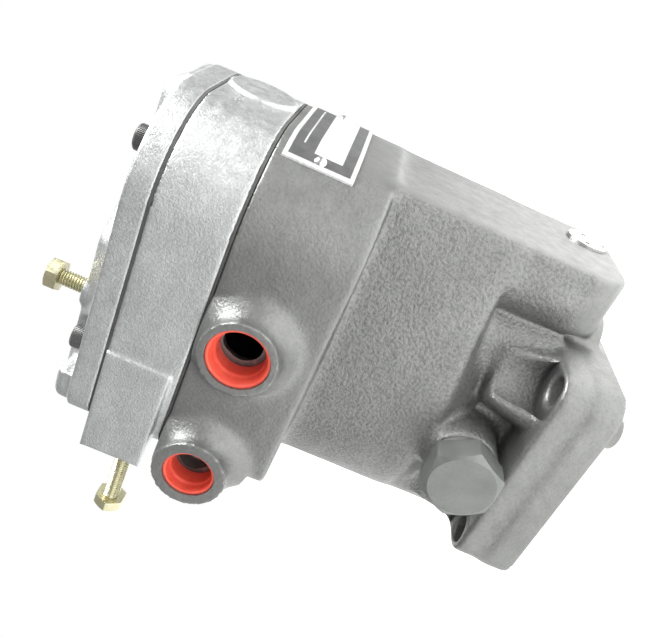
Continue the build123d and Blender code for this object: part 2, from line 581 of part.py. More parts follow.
def make_bearing_balls():
    return ball_ring(BALL_R, BALL_PITCH_R, BALLS, (BEARING_Z0 + BEARING_Z1) / 2)


# ---- ballhead and pilot valve -------------------------------------------------------------------
def make_rotating_bushing():
    bushing = z_ring(BUSHING_R, PILOT_BORE_R, BUSHING_Z0, BUSHING_Z1)
    bushing -= z_rod(6, BUSHING_Z0 - 1, 44)
    for z in (58.0, 70.0, 82.0):
        bushing -= x_rod(1.6, -BUSHING_R - 1, BUSHING_R + 1, 0, z)
        bushing -= y_rod(1.6, -BUSHING_R - 1, BUSHING_R + 1, 0, z + 4)
    return bushing


def make_ballhead():
    head = z_rod(BUSHING_R + 3.5, BALLHEAD_Z0 - 6, BALLHEAD_Z1)
    head += z_rod(BALLHEAD_R, BALLHEAD_Z0, BALLHEAD_Z1)
    for sx in (-1, 1):
        for sy in (-1, 1):
            ear_y = sorted((sy * EAR_Y0, sy * EAR_Y1))
            ear = block(-3.5, 3.5, ear_y[0], ear_y[1], BALLHEAD_Z1 - 1, PIVOT_Z)
            ear += y_rod(3.5, ear_y[0], ear_y[1], 0, PIVOT_Z)
            head += Pos(sx * PIVOT_X, 0, 0) * ear
        head -= y_rod(PIVOT_R, -EAR_Y1 - 1, EAR_Y1 + 1, sx * PIVOT_X, PIVOT_Z)
    head -= z_rod(BUSHING_R, BALLHEAD_Z0 - 7, BUSHING_Z1)
    return head - z_rod(PILOT_BORE_R + 1, BUSHING_Z1 - 1, BALLHEAD_Z1 + 1)


def flyweight():
    """The +X weight: toe under the thrust race, mass above the pivot."""
    half_w = EAR_Y0 - 0.5
    weight = y_rod(3.8, -half_w, half_w, PIVOT_X, PIVOT_Z)
    weight += block(8.0, PIVOT_X, -half_w + 2, half_w - 2, PIVOT_Z - 1.5, RACE_Z0 - 0.3)
    weight += block(PIVOT_X - 3, PIVOT_X + 4, -half_w, half_w, PIVOT_Z, 112)
    mass = block(12.5, 24, -12, 12, 111, 119)
    weight += fillet(mass.edges().filter_by(Axis.Z), 2)
    return weight - y_rod(PIVOT_R + RUNNING, -half_w - 1, half_w + 1, PIVOT_X, PIVOT_Z)


def make_flyweight_b():
    return Rot(0, 0, 180) * flyweight()


def make_flyweight_pins():
    pins = [y_rod(PIVOT_R, -EAR_Y1 - 0.5, EAR_Y1 + 0.5, sx * PIVOT_X, PIVOT_Z) for sx in (-1, 1)]
    return Compound(children=pins)


def make_thrust_races():
    upper_z = RACE_Z0 + RACE_T + 2 * THRUST_BALL_R
    lower = z_ring(RACE_R, 3.5, RACE_Z0, RACE_Z0 + RACE_T)
    return Compound(children=[lower, z_ring(RACE_R, 3.5, upper_z, upper_z + RACE_T)])


def make_thrust_balls():
    return ball_ring(THRUST_BALL_R, 6.8, 12, RACE_Z0 + RACE_T + THRUST_BALL_R)


def make_pilot_plunger():
    plunger = z_rod(2.8, 54, RACE_Z0)
    for z0, z1 in ((54.0, 60.0), (67.0, 73.0), (80.0, 88.0)):
        plunger += z_rod(PILOT_BORE_R - RUNNING, z0, z1)
    plunger += z_rod(3.5, RACE_Z0 - 4, SPRING_SEAT_Z)
    plunger += z_rod(10, SPRING_SEAT_Z - 3, SPRING_SEAT_Z)
    return plunger + z_rod(4.5, SPRING_SEAT_Z, SPRING_SEAT_Z + 4)


def make_speeder_spring():
    spring = coil_spring(SPEEDER_SPRING_R, 1.2, SPEEDER_Z0 - SPRING_SEAT_Z, 7)
    return Pos(0, 0, SPRING_SEAT_Z) * spring


def make_speeder_plug():
    plug = z_rod(10, SPEEDER_Z0, SPEEDER_Z0 + 3) + z_rod(4.5, SPEEDER_Z0 - 4, SPEEDER_Z0)
    plug += z_rod(5, SPEEDER_Z0 + 3, SPEED_Z + 5)
    return plug - y_rod(1.5, -6, 6, 0, SPEED_Z)


def make_speeder_pin():
    return y_rod(1.5, -11, 11, 0, SPEED_Z)


# ---- levers -------------------------------------------------------------------------------------
def fork_lever(shaft_x, z, hub_r, bore_r, pin_x, pin_r, arm_y, arm_t):
    """Hub on a shaft along Y with two slotted arms that carry a cross pin at pin_x."""
    lever = y_rod(hub_r, -arm_y - arm_t, arm_y + arm_t, shaft_x, z)
    half_h = pin_r + 2.6
    for sy in (-1, 1):
        y0, y1 = sorted((sy * arm_y, sy * (arm_y + arm_t)))
        lever += block(shaft_x, pin_x, y0, y1, z - half_h, z + half_h)
        lever += y_rod(half_h, y0, y1, pin_x, z)
    slot = pin_r + SLOT_GAP
    reach = arm_y + arm_t + 1
    for dx in (-1.0, 1.0):
        lever -= y_rod(slot, -reach, reach, pin_x + dx, z)
    lever -= block(pin_x - 1, pin_x + 1, -reach, reach, z - slot, z + slot)
    return lever - y_rod(bore_r, -reach, reach, shaft_x, z)


def make_speed_lever():
    return fork_lever(SPEED_X, SPEED_Z, 7.0, SPEED_R, 0.0, 1.5, 6.5, 3.0)


def make_terminal_lever():
    return fork_lever(TERMINAL_X, TERMINAL_Z, 7.5, TERMINAL_R, POWER_X, LEVER_PIN_R, 5.0, 3.0)


def serrated_end(radius, y0, y1, x, z, count=24):
    end = y_rod(radius, y0, y1, x, z)
    for k in range(count):
        groove = Rot(0, 360 * k / count, 0) * Pos(radius, 0, 0) * Rot(0, 45, 0) * Box(0.8, y1 - y0 + 2, 0.8)
        end -= Pos(x, (y0 + y1) / 2 + 1, z) * groove
    return end


def lever_shaft(radius, y0, y1, serrated, x, z):
    """Full size in its boss, then a plain land and a serrated end that a lever slides over."""
    land = radius - LAND_STEP
    shaft = y_rod(radius, y0, LAND_Y, x, z) + y_rod(land, LAND_Y, y1 - serrated, x, z)
    return shaft + serrated_end(land - SERRATION_STEP, y1 - serrated, y1, x, z)


def make_speed_shaft():
    return lever_shaft(SPEED_R, SPEED_Y0, SPEED_Y1, 12, SPEED_X, SPEED_Z)


def make_stop_arm():
    """Collar with a short lobe for the horizontal stop screw and a long arm for the vertical one."""
    arm = y_rod(6.5, STOP_Y - 3, STOP_ARM_Y + 2.5, SPEED_X, SPEED_Z)
    lobe_x0, lobe_x1 = SPEED_X - STOP_LOBE_HALF_W, SPEED_X + STOP_LOBE_HALF_W
    arm += block(lobe_x0, lobe_x1, STOP_Y - 3, STOP_Y + 3, STOP_LOBE_Z, SPEED_Z)
    arm += block(SPEED_X, HIGH_STOP_X + 4, STOP_ARM_Y - 2.5, STOP_ARM_Y + 2.5, SPEED_Z - 3, SPEED_Z + 3)
    return arm - y_rod(SPEED_R, STOP_Y - 4, STOP_ARM_Y + 4, SPEED_X, SPEED_Z)


def make_terminal_shaft():
    return lever_shaft(TERMINAL_R, TERMINAL_Y0, TERMINAL_Y1, 14, TERMINAL_X, TERMINAL_Z)


# ---- power cylinder -----------------------------------------------------------------------------
def make_power_piston():
    piston = z_rod(POWER_R - RUNNING, PISTON_Z0, PISTON_Z1, POWER_X)
    for z in (PISTON_Z0 + 4, PISTON_Z0 + 9):
        piston -= z_ring(POWER_R + 1, POWER_R - 0.8, z, z + 1.5, POWER_X)
    return piston - z_rod(ROD_R, PISTON_Z0 + 6, PISTON_Z1 + 1, POWER_X)


def make_piston_rod():
    rod = z_rod(ROD_R, PISTON_Z0 + 6, TERMINAL_Z + 5, POWER_X)
    return rod - y_rod(LEVER_PIN_R, -6, 6, POWER_X, TERMINAL_Z)


def make_rod_pin():
    return y_rod(LEVER_PIN_R, -9, 9, POWER_X, TERMINAL_Z)


def make_power_spring():
    spring = coil_spring(9.5, 1.3, LEDGE_Z - PISTON_Z1, 4)
    return Pos(POWER_X, 0, PISTON_Z1) * spring


def make_cylinder_retainer():
    return z_ring(RETAINER_R, ROD_R + 1.5, LEDGE_Z, LEDGE_Z + RETAINER_T, POWER_X)


# ---- buffer and needle valve ----------------------------------------------------------------------
BUFFER_PISTON_Y0, BUFFER_PISTON_Y1, BUFFER_PLUG_Y = 2.0, 14.0, 36.0


def make_buffer_piston():
    piston = y_rod(BUFFER_R - RUNNING, BUFFER_PISTON_Y0, BUFFER_PISTON_Y1, BUFFER_X, BUFFER_Z)
    middle = (BUFFER_PISTON_Y0 + BUFFER_PISTON_Y1) / 2
    return piston - y_ring(BUFFER_R + 1, BUFFER_R - 1, middle - 1, middle + 1, BUFFER_X, BUFFER_Z)


def make_buffer_spring_inner():
    spring = coil_spring(5.2, 0.7, BUFFER_PISTON_Y0 - BUFFER_Y0, 6)
    return on_plus_y(spring, BUFFER_X, BUFFER_Y0, BUFFER_Z)


def make_buffer_spring_outer():
    spring = coil_spring(5.2, 0.7, BUFFER_PLUG_Y - BUFFER_PISTON_Y1, 5)
    return on_plus_y(spring, BUFFER_X, BUFFER_PISTON_Y1, BUFFER_Z)


def make_buffer_plug():
    plug = hex_screw(BUFFER_FACE_Y - BUFFER_PLUG_Y, BUFFER_R, 19.0, 7.0)
    return on_plus_y(plug, BUFFER_X, BUFFER_FACE_Y, BUFFER_Z)


def make_needle_valve():
    needle = z_rod(NEEDLE_R - RUNNING, -20, 3) + Pos(0, 0, -23) * Cone(1.2, NEEDLE_R - RUNNING, 6)
    needle -= block(-5, 5, -0.6, 0.6, 1.5, 4)
    return on_plus_y(needle, NEEDLE_X, NEEDLE_FACE_Y, NEEDLE_Z)


# ---- write the nodes ----------------------------------------------------------------------------
NODES = {
    "housing": make_housing,
    "spacer": make_spacer,
    "cover": make_cover,
    "body_gasket": make_body_gasket,
    "cover_gasket": lambda: make_gasket(SPACER_Z1),
    "cover_screws": make_cover_screws,
    "dowel_pins": lambda: Compound(children=dowel_rods(BODY_TOP - 6, SPACER_Z0 + 6)),
    "nameplate": make_nameplate,
    "nameplate_rivets": make_nameplate_rivets,
    "high_speed_screw": make_high_speed_screw,
    "low_speed_screw": make_low_speed_screw,
    "relief_plug": make_relief_plug,
    "relief_washer": make_relief_washer,
    "relief_valve": make_relief_valve,
    "relief_spring": make_relief_spring,
    "passage_plug": make_passage_plug,
    "inlet_sleeve": lambda: make_port_sleeve("inlet"),
    "outlet_sleeve": lambda: make_port_sleeve("outlet"),
    "drive_shaft": make_drive_shaft,
    "shaft_seal": make_shaft_seal,
    "bearing_circlip": make_bearing_circlip,
    "bearing_outer_race": make_bearing_outer_race,
    "bearing_inner_race": make_bearing_inner_race,
    "bearing_balls": make_bearing_balls,
    "drive_gear": lambda: make_gear(JOURNAL_R, 0.0),
    "idler_gear": lambda: make_gear(IDLER_PIN_R + RUNNING, IDLER_Y),
    "idler_pin": make_idler_pin,
    "pump_plate": make_pump_plate,
    "pump_plate_screws": make_pump_plate_screws,
    "rotating_bushing": make_rotating_bushing,
    "ballhead": make_ballhead,
    "flyweight_a": flyweight,
    "flyweight_b": make_flyweight_b,
    "flyweight_pins": make_flyweight_pins,
    "thrust_races": make_thrust_races,
    "thrust_balls": make_thrust_balls,
    "pilot_plunger": make_pilot_plunger,
    "speeder_spring": make_speeder_spring,
    "speeder_plug": make_speeder_plug,
    "speeder_pin": make_speeder_pin,
    "speed_shaft": make_speed_shaft,
    "speed_lever": make_speed_lever,
    "stop_arm": make_stop_arm,
    "speed_shaft_seal": lambda: make_shaft_seal_ring(SPEED_R, 1.5, SHAFT_BOSS_Y, SPEED_X, SPEED_Z),
    "power_piston": make_power_piston,
    "piston_rod": make_piston_rod,
    "rod_pin": make_rod_pin,
    "power_spring": make_power_spring,
    "cylinder_retainer": make_cylinder_retainer,
    "terminal_shaft": make_terminal_shaft,
    "terminal_lever": make_terminal_lever,
    "terminal_shaft_seal": lambda: make_shaft_seal_ring(
        TERMINAL_R, 2.0, SHAFT_BOSS_Y, TERMINAL_X, TERMINAL_Z),
    "buffer_piston": make_buffer_piston,
    "buffer_spring_inner": make_buffer_spring_inner,
    "buffer_spring_outer": make_buffer_spring_outer,
    "buffer_plug": make_buffer_plug,
    "needle_valve": make_needle_valve,
}

os.makedirs("parts", exist_ok=True)
for name, make in NODES.items():
    part = make()
    export_step(part, f"parts/{name}.step")
    print(name, round(part.volume, 1))
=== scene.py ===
import json
import math

import bmesh
import bpy
import numpy as np
from mathutils import Matrix, Vector
from mathutils.bvhtree import BVHTree

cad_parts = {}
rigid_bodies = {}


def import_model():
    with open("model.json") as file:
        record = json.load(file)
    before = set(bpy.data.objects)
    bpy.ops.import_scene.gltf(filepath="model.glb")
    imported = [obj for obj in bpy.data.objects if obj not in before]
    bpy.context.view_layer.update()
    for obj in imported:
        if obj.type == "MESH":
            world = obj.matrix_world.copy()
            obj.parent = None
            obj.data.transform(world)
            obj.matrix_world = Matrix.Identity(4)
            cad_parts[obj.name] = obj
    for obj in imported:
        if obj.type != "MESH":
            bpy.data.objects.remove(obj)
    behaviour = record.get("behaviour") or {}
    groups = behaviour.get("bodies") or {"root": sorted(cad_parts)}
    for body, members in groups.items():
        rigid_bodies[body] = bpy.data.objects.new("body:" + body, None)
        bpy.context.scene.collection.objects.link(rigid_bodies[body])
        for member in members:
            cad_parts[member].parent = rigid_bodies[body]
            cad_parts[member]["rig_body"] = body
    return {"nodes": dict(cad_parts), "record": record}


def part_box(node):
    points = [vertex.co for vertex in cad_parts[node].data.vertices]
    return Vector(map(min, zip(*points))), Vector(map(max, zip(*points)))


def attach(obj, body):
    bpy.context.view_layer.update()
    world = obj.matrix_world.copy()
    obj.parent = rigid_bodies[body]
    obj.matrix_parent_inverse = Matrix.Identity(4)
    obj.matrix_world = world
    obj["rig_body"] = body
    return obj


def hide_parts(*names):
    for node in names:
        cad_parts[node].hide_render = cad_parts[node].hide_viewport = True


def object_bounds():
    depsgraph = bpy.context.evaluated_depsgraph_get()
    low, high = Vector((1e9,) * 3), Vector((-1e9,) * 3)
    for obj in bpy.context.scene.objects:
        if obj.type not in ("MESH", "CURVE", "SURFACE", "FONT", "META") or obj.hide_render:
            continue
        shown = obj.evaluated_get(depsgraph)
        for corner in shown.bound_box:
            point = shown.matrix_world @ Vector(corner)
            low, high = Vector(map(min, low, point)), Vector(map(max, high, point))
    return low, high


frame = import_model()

MM = 0.001
CAD_BOX = [list(corner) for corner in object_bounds()]
SLOT_OF = {part["node"]: part["material_slot"] for part in frame["record"]["subparts"]}
BODY_OF = {name: obj["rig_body"] for name, obj in frame["nodes"].items()}
MOUNTS = {m["name"]: m for m in frame["record"]["mounts"]}

# Heights along the drive axis where the housing changes character.
SHOULDER_Z = 98 * MM      # the smooth barrel starts here, above the rough lower body
FLANGE_TOP_Z = 22 * MM
JOINT_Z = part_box("body_gasket")[0].z
DISC_PROUD = 0.8 * MM     # the bright disc stands this far off the machined flat
FLAT_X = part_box("passage_plug")[1].x - DISC_PROUD

BOLTS = MOUNTS["mounting_bolts"]["dims"]
BOLT_SPOTS = [(sx * BOLTS["spacing_x_mm"] / 2 * MM, sy * BOLTS["spacing_y_mm"] / 2 * MM)
              for sx in (-1, 1) for sy in (-1, 1)]
BOLT_HOLE_R = BOLTS["hole_r_mm"] * MM
SPOTFACE_R = 11 * MM


# ---- small mesh tools ---------------------------------------------------------------------------
def add_object(name, mesh):
    obj = bpy.data.objects.new(name, mesh)
    bpy.context.scene.collection.objects.link(obj)
    return obj


def mesh_from(name, verts, faces):
    mesh = bpy.data.meshes.new(name)
    mesh.from_pydata([tuple(v) for v in verts], [], faces)
    mesh.validate()
    return add_object(name, mesh)


def apply_modifiers(obj):
    depsgraph = bpy.context.evaluated_depsgraph_get()
    mesh = bpy.data.meshes.new_from_object(obj.evaluated_get(depsgraph))
    old, obj.data = obj.data, mesh
    obj.modifiers.clear()
    bpy.data.meshes.remove(old)
    return obj


WELD = 1e-6            # metres


def welded_copy(node, name):
    """A closed copy of a CAD node's mesh, which is split along its sharp edges."""
    work = bmesh.new()
    work.from_mesh(frame["nodes"][node].data)
    bmesh.ops.remove_doubles(work, verts=work.verts, dist=WELD)
    mesh = bpy.data.meshes.new(name)
    work.to_mesh(mesh)
    work.free()
    return add_object(name, mesh)


def island_boxes(node):
    """Lowest and highest corner of each separate solid in a node."""
    work = bmesh.new()
    work.from_mesh(frame["nodes"][node].data)
    bmesh.ops.remove_doubles(work, verts=work.verts, dist=WELD)
    left, boxes = set(work.verts), []
    while left:
        stack, group = [left.pop()], []
        while stack:
            vert = stack.pop()
            group.append(tuple(vert.co))
            for edge in vert.link_edges:
                other = edge.other_vert(vert)
                if other in left:
                    left.remove(other)
                    stack.append(other)
        points = np.array(group)
        boxes.append((Vector(points.min(0)), Vector(points.max(0))))
    work.free()
    return sorted(boxes, key=lambda b: (round(b[0].x, 5), round(b[0].y, 5)))


def axis_matrix(origin, direction):
    """Local +Z along direction, at origin."""
    turn = Vector(direction).to_track_quat("Z", "Y").to_matrix().to_4x4()
    return Matrix.Translation(Vector(origin)) @ turn


def lathe(name, profile, matrix, segments=96):
    """A closed solid of revolution. The profile is a list of (radius, height), going round its outline."""
    on_axis = [r <= 0 for r, _ in profile]
    verts, rings = [], []
    for (r, h), centre in zip(profile, on_axis):
        if centre:
            rings.append([len(verts)] * segments)
            verts.append((0, 0, h))
        else:
            rings.append(list(range(len(verts), len(verts) + segments)))
            verts += [(r * math.cos(t), r * math.sin(t), h)
                      for t in np.linspace(0, 2 * math.pi, segments, endpoint=False)]
    pairs = list(zip(rings, rings[1:]))
    if not (on_axis[0] and on_axis[-1]):
        pairs.append((rings[-1], rings[0]))
    faces = []
    for low, high in pairs:
        for i in range(segments):
            j = (i + 1) % segments
            corners = [low[i], low[j], high[j], high[i]]
            face = list(dict.fromkeys(corners))
            if len(face) > 2:
                faces.append(face)
    obj = mesh_from(name, verts, faces)
    obj.data.transform(matrix)
    fix_normals(obj)
    return obj


ARC_SHARE, ARC_STEPS = 0.45, 4        # the most of a side that one arc takes, and its pieces


def rounded(profile, radius):
    """Each corner of a closed (r, h) outline replaced by a short arc."""
    out, count = [], len(profile)
    for i in range(count):
        here = Vector(profile[i])
        before, after = Vector(profile[i - 1]) - here, Vector(profile[(i + 1) % count]) - here
        reach = min(radius, before.length * ARC_SHARE, after.length * ARC_SHARE)
        start, end = here + before.normalized() * reach, here + after.normalized() * reach
        for t in np.linspace(0, 1, ARC_STEPS + 1):
            out.append(tuple((1 - t) ** 2 * start + 2 * t * (1 - t) * here + t ** 2 * end))
    return out


def fix_normals(obj):
    work = bmesh.new()
    work.from_mesh(obj.data)
    bmesh.ops.recalc_face_normals(work, faces=work.faces)
    work.to_mesh(obj.data)
    work.free()


def rod(name, radius, start, end, segments=96):
    """A plain cylinder between two points, for cutting or filling."""
    start, end = Vector(start), Vector(end)
    length = (end - start).length
    profile = [(0, 0), (radius, 0), (radius, length), (0, length)]
    return lathe(name, profile, axis_matrix(start, end - start), segments)


def combine(target, tool, operation):
    """One boolean between closed meshes; the tool is used up."""
    modifier = target.modifiers.new("combine", "BOOLEAN")
    modifier.operation, modifier.object, modifier.solver = operation, tool, "MANIFOLD"
    apply_modifiers(target)
    mesh = tool.data
    bpy.data.objects.remove(tool)
    bpy.data.meshes.remove(mesh)


def smooth_shade(obj, angle):
    """Smooth over gentle turns and crisp over sharp ones."""
    mesh = obj.data
    mesh.polygons.foreach_set("use_smooth", [True] * len(mesh.polygons))
    work = bmesh.new()
    work.from_mesh(mesh)
    limit = math.radians(angle)
    for edge in work.edges:
        if len(edge.link_faces) == 2:
            edge.smooth = edge.calc_face_angle(0) < limit
    work.to_mesh(mesh)
    work.free()


# ---- procedural materials -----------------------------------------------------------------------
NOISE_LOW, NOISE_HIGH = 0.3, 0.7


class Nodes:
    """A short way to wire shader nodes."""

    def __init__(self, name):
        self.material = bpy.data.materials.new(name)
        self.material.use_nodes = True
        self.tree = self.material.node_tree
        self.shader = self.tree.nodes["Principled BSDF"]
        self.place = self.add("ShaderNodeTexCoord").outputs["Object"]

    def add(self, kind, **settings):
        node = self.tree.nodes.new(kind)
        for key, value in settings.items():
            setattr(node, key, value)
        return node

    def link(self, value, socket):
        if isinstance(value, bpy.types.NodeSocket):
            self.tree.links.new(value, socket)
        else:
            socket.default_value = value

    def math(self, operation, a, b=0.0):
        node = self.add("ShaderNodeMath", operation=operation)
        self.link(a, node.inputs[0])
        self.link(b, node.inputs[1])
        return node.outputs[0]

    def noise(self, scale, detail=3.0, rough=0.55, stretch=None):
        node = self.add("ShaderNodeTexNoise")
        node.inputs["Scale"].default_value = scale
        node.inputs["Detail"].default_value = detail
        node.inputs["Roughness"].default_value = rough
        source = self.place
        if stretch:
            mapping = self.add("ShaderNodeMapping")
            mapping.inputs["Scale"].default_value = stretch
            self.tree.links.new(source, mapping.inputs["Vector"])
            source = mapping.outputs[0]
        self.tree.links.new(source, node.inputs["Vector"])
        return node.outputs["Fac"]

    def remap(self, value, low, high, to_low=0.0, to_high=1.0):
        node = self.add("ShaderNodeMapRange")
        self.link(value, node.inputs[0])
        for index, number in enumerate((low, high, to_low, to_high)):
            self.link(number, node.inputs[1 + index])
        return node.outputs[0]

    def vary(self, noise, to_low=0.0, to_high=1.0):
        """The middle of a noise's range, stretched between two values."""
        return self.remap(noise, NOISE_LOW, NOISE_HIGH, to_low, to_high)

    def mix(self, factor, a, b):
        node = self.add("ShaderNodeMix", data_type="RGBA")
        self.link(factor, node.inputs[0])
        self.link(a, node.inputs[6])
        self.link(b, node.inputs[7])
        return node.outputs[2]

    def bump(self, height, distance, below=None):
        node = self.add("ShaderNodeBump")
        node.inputs["Distance"].default_value = distance
        self.link(height, node.inputs["Height"])
        if below is not None:
            self.tree.links.new(below, node.inputs["Normal"])
        return node.outputs[0]

    def coordinate(self, axis):
        node = self.add("ShaderNodeSeparateXYZ")
        self.tree.links.new(self.place, node.inputs[0])
        return node.outputs[axis]

    def edges(self):
        """0 in hollows, 0.5 on flats and 1 on worn edges."""
        return self.add("ShaderNodeNewGeometry").outputs["Pointiness"]

    def worn(self, low, high, amount):
        return self.remap(self.edges(), low, high, 0.0, amount)

    # painted shade: darkens the colour where the surface is hollow, standing in for the shade that falls
    # there
    def painted_hollow_shade(self, low, high, amount):
        return self.remap(self.edges(), low, high, amount, 0.0)

    def finish(self, color, roughness, normal):
        self.link(color, self.shader.inputs["Base Color"])
        self.link(roughness, self.shader.inputs["Roughness"])
        self.tree.links.new(normal, self.shader.inputs["Normal"])
        return self.material


def shade(color, factor):
    return tuple(min(1.0, c * factor) for c in color[:3]) + (1.0,)


def metal(name, color, metallic, rough, grain, relief, mottle=80.0, tint=0.12):
    """Paint or bare metal: mottled colour, uneven gloss, lighter edges and painted shade darkening the
    hollows.
    """
    n = Nodes(name)
    n.shader.inputs["Metallic"].default_value = metallic
    patches = n.noise(mottle, 5.0)
    base = n.mix(n.vary(patches), shade(color, 1 - tint), shade(color, 1 + tint))
    fine = n.noise(grain, 4.0, 0.6)
    base = n.mix(n.remap(fine, 0.35, 0.65, 0.0, 0.35), base, shade(color, 1 - 1.6 * tint))
    worn = n.worn(0.51, 0.58, 0.25)
    base = n.mix(worn, base, shade(color, 1.9))
    # painted shade: the hollows darkened to 0.45 of the colour
    painted_hollow_shade = n.painted_hollow_shade(0.40, 0.49, 0.45)
    base = n.mix(painted_hollow_shade, base, shade(color, 0.45))
    gloss = n.vary(n.noise(mottle * 2.3, 4.0), rough[0], rough[1])
    return n.finish(base, gloss, n.bump(fine, relief * MM))


# How much of the sand grain shows above the shoulder, on the flange and on the machined flat.
BARREL_GRAIN, FLANGE_GRAIN, FLAT_GRAIN = 0.42, 0.40, 0.22
GRAIN_BUMP, LUMP_BUMP, SEAT_DARK = 0.36 * MM, 0.22 * MM, 0.8


def bolt_seats(n, x, y, z):
    """Where the four spot faces are, for darkening their floors."""
    seat_x = n.math("SUBTRACT", n.math("ABSOLUTE", x), abs(BOLT_SPOTS[0][0]))
    seat_y = n.math("SUBTRACT", n.math("ABSOLUTE", y), abs(BOLT_SPOTS[0][1]))
    away = n.math("SQRT", n.math("ADD", n.math("POWER", seat_x, 2.0), n.math("POWER", seat_y, 2.0)))
    inside = n.remap(away, SPOTFACE_R, SPOTFACE_R + 0.2 * MM, 1.0, 0.0)
    seat = n.math("MULTIPLY", inside, n.remap(z, FLANGE_TOP_Z - 0.5 * MM, FLANGE_TOP_Z, 0.0, SEAT_DARK))
    return n.math("MULTIPLY", seat, n.remap(z, FLANGE_TOP_Z + 1 * MM, FLANGE_TOP_Z + 2 * MM, 1.0, 0.0))


def casting_paint(name, color):
    """Satin grey paint over sand casting: rough below the shoulder, finer elsewhere."""
    n = Nodes(name)
    n.shader.inputs["Metallic"].default_value = 0.72
    n.shader.inputs["Specular IOR Level"].default_value = 0.55
    x, y, z = (n.coordinate(axis) for axis in range(3))
    below = n.remap(z, SHOULDER_Z - 1.5 * MM, SHOULDER_Z + 1.0 * MM, 1.0, BARREL_GRAIN)
    above_flange = n.remap(z, FLANGE_TOP_Z - 1.5 * MM, FLANGE_TOP_Z + 1.5 * MM, FLANGE_GRAIN, 1.0)
    off_flat = n.remap(x, FLAT_X - 0.9 * MM, FLAT_X - 0.3 * MM, 1.0, FLAT_GRAIN)
    grainy = n.math("MULTIPLY", n.math("MULTIPLY", below, above_flange), off_flat)
    pebble = n.noise(900.0, 2.0, 0.5)
    sand = n.noise(2300.0, 3.0, 0.6)
    lumps = n.noise(150.0, 3.0, 0.5)
    patches = n.noise(38.0, 5.0, 0.6)
    base = n.mix(n.vary(patches), shade(color, 0.90), shade(color, 1.10))
    pits = n.math("MULTIPLY", n.remap(pebble, 0.30, 0.58, 0.55, 0.0), grainy)
    base = n.mix(pits, base, shade(color, 0.45))
    base = n.mix(n.worn(0.515, 0.60, 0.5), base, shade(color, 1.6))
    # painted shade: the hollows darkened to 0.3 of the paint colour
    base = n.mix(n.painted_hollow_shade(0.38, 0.485, 0.75), base, shade(color, 0.30))
    seat = bolt_seats(n, x, y, z)
    base = n.mix(seat, base, shade(color, 0.28))
    height = n.math("ADD", pebble, n.math("MULTIPLY", sand, 0.45))
    height = n.math("MULTIPLY", height, grainy)
    normal = n.bump(height, GRAIN_BUMP, n.bump(lumps, LUMP_BUMP))
    gloss = n.vary(n.noise(210.0, 4.0), 0.36, 0.50)
    return n.finish(base, gloss, normal)


def bare_casting(name, color):
    """Bright, fine grained die casting with faint flow marks."""
    n = Nodes(name)
    n.shader.inputs["Metallic"].default_value = 0.9
    speckle = n.noise(1300.0, 4.0, 0.65)
    flow = n.noise(55.0, 5.0, 0.6, (1.0, 1.0, 2.2))
    pits = n.noise(420.0, 2.0, 0.5)
    base = n.mix(n.vary(flow), shade(color, 0.86), shade(color, 1.06))
    base = n.mix(n.remap(speckle, 0.36, 0.6, 0.42, 0.0), base, shade(color, 0.5))
    base = n.mix(n.remap(pits, 0.20, 0.30, 0.35, 0.0), base, shade(color, 0.45))
    # painted shade: the hollows darkened to 0.4 of the colour
    base = n.mix(n.painted_hollow_shade(0.40, 0.49, 0.5), base, shade(color, 0.40))
    gloss = n.vary(n.noise(330.0, 4.0), 0.33, 0.48)
    return n.finish(base, gloss, n.bump(speckle, 0.20 * MM))


def plated_zinc(name):
    """Yellow passivated zinc: its film drifts between a greenish and a warmer straw."""
    n = Nodes(name)
    n.shader.inputs["Metallic"].default_value = 0.92
    drift = n.noise(130.0, 3.0)
    streak = n.noise(420.0, 5.0, 0.6)
    base = n.mix(n.remap(drift, 0.38, 0.62), (0.58, 0.57, 0.36, 1), (0.60, 0.53, 0.36, 1))
    base = n.mix(n.remap(streak, 0.48, 0.72, 0.0, 0.6), base, (0.68, 0.68, 0.54, 1))
    # painted shade: a dark brown in the hollows of the zinc
    base = n.mix(n.painted_hollow_shade(0.38, 0.49, 0.8), base, (0.17, 0.11, 0.04, 1))
    gloss = n.vary(n.noise(500.0, 4.0), 0.22, 0.40)
    return n.finish(base, gloss, n.bump(streak, 0.02 * MM))


def moulded(name, color, dark, rough, relief):
    """Moulded rubber, gasket sheet or plastic."""
    n = Nodes(name)
    cloud = n.noise(160.0, 4.0)
    grit = n.noise(1300.0, 4.0, 0.6)
    base = n.mix(n.vary(cloud), color, dark)
    base = n.mix(n.worn(0.52, 0.62, 0.3), base, shade(color, 1.4))
    gloss = n.vary(grit, rough[0], rough[1])
    return n.finish(base, gloss, n.bump(grit, relief * MM))


